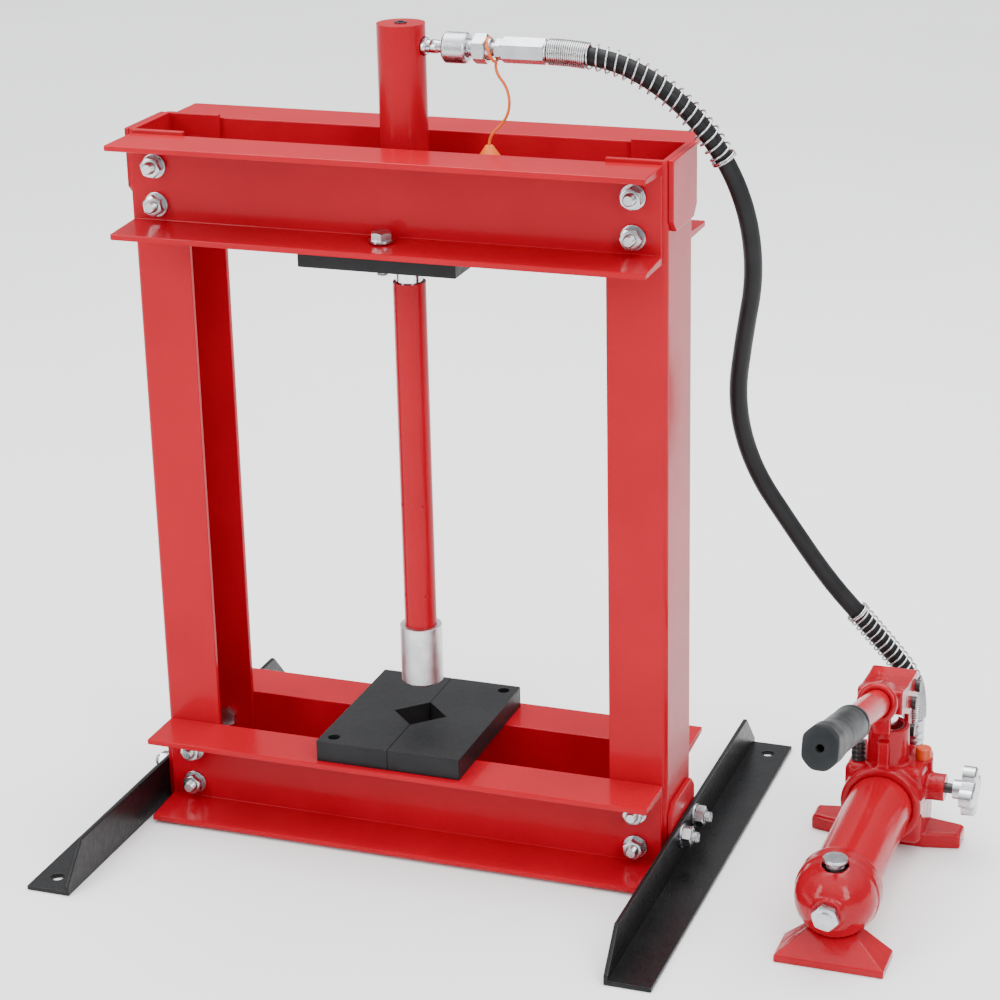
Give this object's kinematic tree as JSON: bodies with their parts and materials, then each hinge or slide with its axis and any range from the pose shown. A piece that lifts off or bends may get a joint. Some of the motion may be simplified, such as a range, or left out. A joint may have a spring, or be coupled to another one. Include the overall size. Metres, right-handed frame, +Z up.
{
  "type": "hydraulic shop press",
  "caption": "Bench hydraulic press: bolted channel frame, spring-return ram on extension tubes, notched press plates, lever hand pump and hose.",
  "frame": {"origin": "on the ram's axis, at the level of the surface the press stands on", "axes": "+X along the beams towards the pump, -Y the front, +Z up along the ram's axis"},
  "size_m": [0.7585, 0.462, 0.717],
  "materials": {
    "red_enamel": "glossy enamel",
    "black_paint": "semi-gloss",
    "zinc_plate": "bright zinc",
    "chrome_rod": "ground and plated",
    "plain_steel": "turned",
    "cast_alloy": "polished",
    "hose_rubber": "matte",
    "grip_rubber": "matte",
    "orange_plastic": "soft moulded",
    "seal_rubber": "smooth"
  },
  "bodies": {
    "root": {"coupler_body": "zinc_plate", "cylinder_body": "red_enamel", "dust_cap": "orange_plastic", "dust_cap_ring": "orange_plastic", "dust_cap_strap": "orange_plastic", "filler_plug": "zinc_plate", "foot_bolts": "zinc_plate", "foot_left": "black_paint", "foot_right": "black_paint", "frame_bolts": "zinc_plate", "hose": "hose_rubber", "hose_end_nut": "zinc_plate", "hose_ferrule_lower": "zinc_plate", "hose_ferrule_upper": "zinc_plate", "hose_spring_lower": "zinc_plate", "hose_spring_upper": "zinc_plate", "link_base_pin": "black_paint", "lower_beam_front": "red_enamel", "lower_beam_rear": "red_enamel", "lower_end_plates": "red_enamel", "nuts": "zinc_plate", "plunger_gland": "plain_steel", "port_nipple": "zinc_plate", "pump_front_cap": "red_enamel", "pump_front_foot": "red_enamel", "pump_head": "red_enamel", "ram_plate": "black_paint", "ram_plate_bolts": "zinc_plate", "relief_cap": "orange_plastic", "reservoir_tube": "red_enamel", "return_spring": "plain_steel", "ribbed_breather": "grip_rubber", "spring_anchor_screw": "black_paint", "upper_beam_front": "red_enamel", "upper_beam_rear": "red_enamel", "upper_end_plates": "red_enamel", "upright_left": "red_enamel", "upright_right": "red_enamel", "washers": "zinc_plate"},
    "ram": {"piston": "plain_steel", "piston_seal": "seal_rubber", "piston_rod": "chrome_rod", "extension_tube_long": "red_enamel", "tube_connector": "plain_steel", "extension_tube_short": "red_enamel", "ram_foot": "zinc_plate"},
    "left_plate": {"press_plate_left": "black_paint"},
    "right_plate": {"press_plate_right": "black_paint"},
    "collar": {"coupler_collar": "zinc_plate"},
    "link": {"link_arms": "red_enamel"},
    "handle": {"handle_socket": "red_enamel", "handle_tube": "red_enamel", "handle_grip": "grip_rubber", "handle_pins": "black_paint"},
    "pump_plunger": {"plunger": "chrome_rod"},
    "release_valve": {"release_stem": "black_paint", "release_knob": "cast_alloy"},
    "vent": {"vent_knob": "zinc_plate"}
  },
  "joints": [
    {"name": "ram_slide", "type": "slide", "parent": "root", "child": "ram", "axis": [0, 0, -1], "range_m": [0, 0.032], "stiffness_N_per_m": 400, "springref_m": -0.15, "deforming": ["return_spring"]},
    {"name": "left_plate_slide", "type": "slide", "parent": "root", "child": "left_plate", "axis": [-1, 0, 0], "range_m": [0, 0.1]},
    {"name": "right_plate_slide", "type": "slide", "parent": "root", "child": "right_plate", "axis": [1, 0, 0], "range_m": [0, 0.1]},
    {"name": "collar_turn", "type": "hinge", "parent": "root", "child": "collar", "pos_m": [0.048, 0, 0.698], "axis": [1, 0, 0], "range_deg": [0, 360]},
    {"name": "link_rock", "type": "hinge", "parent": "root", "child": "link", "pos_m": [0.402, 0.098, 0.1], "axis": [-1, 0, 0], "range_deg": [0, 3.2]},
    {"name": "handle_lift", "type": "hinge", "parent": "link", "child": "handle", "pos_m": [0.402, 0.089, 0.147], "axis": [-1, 0, 0], "range_deg": [0, 40]},
    {"name": "plunger_slide", "type": "slide", "parent": "root", "child": "pump_plunger", "axis": [0, 0, 1], "range_m": [0, 0.0145]},
    {"name": "release_turn", "type": "hinge", "parent": "root", "child": "release_valve", "pos_m": [0.465, 0.08, 0.058], "axis": [1, 0, 0], "range_deg": [0, 360]},
    {"name": "vent_turn", "type": "hinge", "parent": "root", "child": "vent", "pos_m": [0.402, -0.127, 0.082], "axis": [0, 0, 1], "range_deg": [0, 360]}
  ],
  "couplings": [
    {"joint": "link_rock", "follows": "handle_lift", "ratio": 0.075},
    {"joint": "plunger_slide", "follows": "handle_lift", "m_per_rad": 0.01967}
  ]
}
